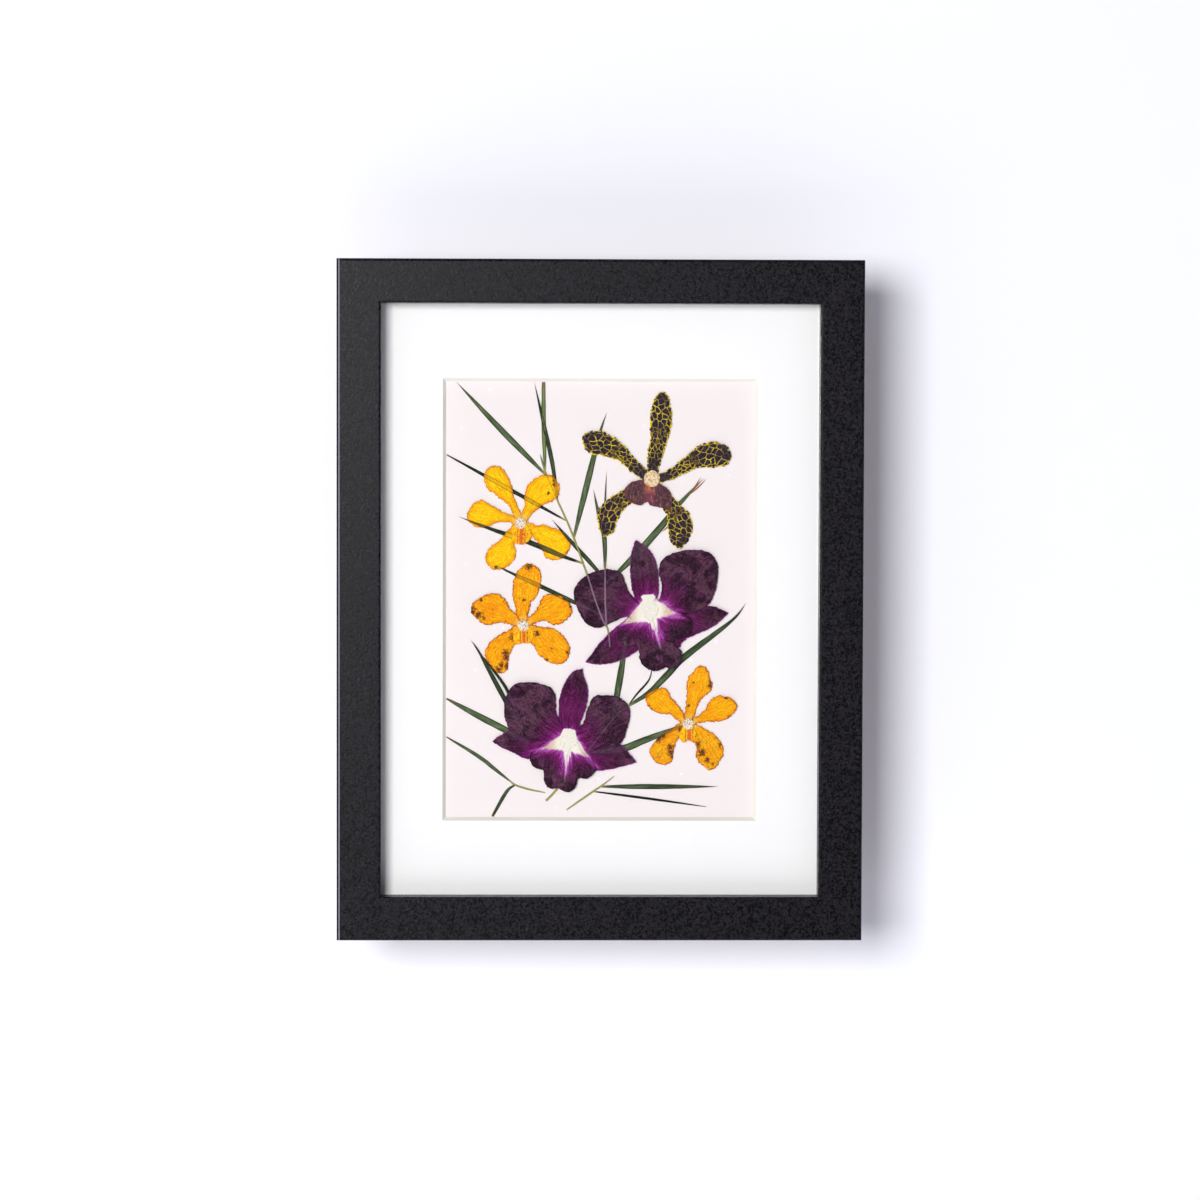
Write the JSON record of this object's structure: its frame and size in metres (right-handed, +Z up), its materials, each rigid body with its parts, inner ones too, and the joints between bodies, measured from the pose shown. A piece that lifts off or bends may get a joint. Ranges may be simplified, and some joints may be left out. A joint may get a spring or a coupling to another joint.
{
  "type": "pressed flower frame",
  "caption": "Upright black picture frame with a white window mat; pressed yellow, purple and spotted orchids and narrow grass-like leaves lie flat behind its glass.",
  "frame": {"origin": "middle of the sawtooth hanger, on its wall side, where the wall nail bears", "axes": "+X to the viewer's right, +Y towards the wall, +Z up; the glass faces -Y"},
  "size_m": [0.204, 0.0226, 0.264],
  "materials": {
    "black_foil": "black foil-wrapped moulding with a fine wood grain, satin",
    "clear_glass": "clear polished glass",
    "white_card": "white mat card, matt, with a bevelled cut edge",
    "pink_paper": "very pale pink paper, matt",
    "brown_board": "brown hardboard, matt",
    "zinc_steel": "zinc-plated steel, satin",
    "yellow_petal": "dried yellow petal with darker veins and stained edges",
    "purple_petal": "dried dark purple petal, creased, paler towards the middle",
    "cream_column": "dried cream tissue",
    "spotted_petal": "dried yellow petal with dark blotches",
    "brown_lip": "dried brown-purple tissue",
    "dry_leaf": "dried green leaf with fine lengthwise veins"
  },
  "bodies": {
    "root": {"rail_top": "black_foil", "rail_bottom": "black_foil", "rail_left": "black_foil", "rail_right": "black_foil", "glass": "clear_glass", "window_mat": "white_card", "backing_paper": "pink_paper", "back_board": "brown_board", "retaining_tab_top": "zinc_steel", "retaining_tab_bottom": "zinc_steel", "retaining_tab_left": "zinc_steel", "retaining_tab_right": "zinc_steel", "hanger": "zinc_steel", "hanger_nail_left": "zinc_steel", "hanger_nail_right": "zinc_steel", "yellow_orchid_upper_dorsal_sepal": "yellow_petal", "yellow_orchid_upper_petal_left": "yellow_petal", "yellow_orchid_upper_petal_right": "yellow_petal", "yellow_orchid_upper_sepal_left": "yellow_petal", "yellow_orchid_upper_sepal_right": "yellow_petal", "yellow_orchid_upper_lip_and_column": "yellow_petal", "yellow_orchid_middle_dorsal_sepal": "yellow_petal", "yellow_orchid_middle_petal_left": "yellow_petal", "yellow_orchid_middle_petal_right": "yellow_petal", "yellow_orchid_middle_sepal_left": "yellow_petal", "yellow_orchid_middle_sepal_right": "yellow_petal", "yellow_orchid_middle_lip_and_column": "yellow_petal", "yellow_orchid_lower_dorsal_sepal": "yellow_petal", "yellow_orchid_lower_petal_left": "yellow_petal", "yellow_orchid_lower_petal_right": "yellow_petal", "yellow_orchid_lower_sepal_left": "yellow_petal", "yellow_orchid_lower_sepal_right": "yellow_petal", "yellow_orchid_lower_lip_and_column": "yellow_petal", "purple_orchid_upper_dorsal_sepal": "purple_petal", "purple_orchid_upper_petal_left": "purple_petal", "purple_orchid_upper_petal_right": "purple_petal", "purple_orchid_upper_sepal_left": "purple_petal", "purple_orchid_upper_sepal_right": "purple_petal", "purple_orchid_upper_lip": "purple_petal", "purple_orchid_upper_column": "cream_column", "purple_orchid_lower_dorsal_sepal": "purple_petal", "purple_orchid_lower_petal_left": "purple_petal", "purple_orchid_lower_petal_right": "purple_petal", "purple_orchid_lower_sepal_left": "purple_petal", "purple_orchid_lower_sepal_right": "purple_petal", "purple_orchid_lower_lip": "purple_petal", "purple_orchid_lower_column": "cream_column", "spotted_orchid_dorsal_sepal": "spotted_petal", "spotted_orchid_petal_left": "spotted_petal", "spotted_orchid_petal_right": "spotted_petal", "spotted_orchid_sepal_left": "spotted_petal", "spotted_orchid_sepal_right": "spotted_petal", "spotted_orchid_lip": "brown_lip", "spotted_orchid_column": "cream_column", "sprig_upper": "dry_leaf", "sprig_middle": "dry_leaf", "sprig_lower_right": "dry_leaf", "sprig_lower_left": "dry_leaf", "blade_left": "dry_leaf", "blade_pair": "dry_leaf"}
  },
  "joints": []
}
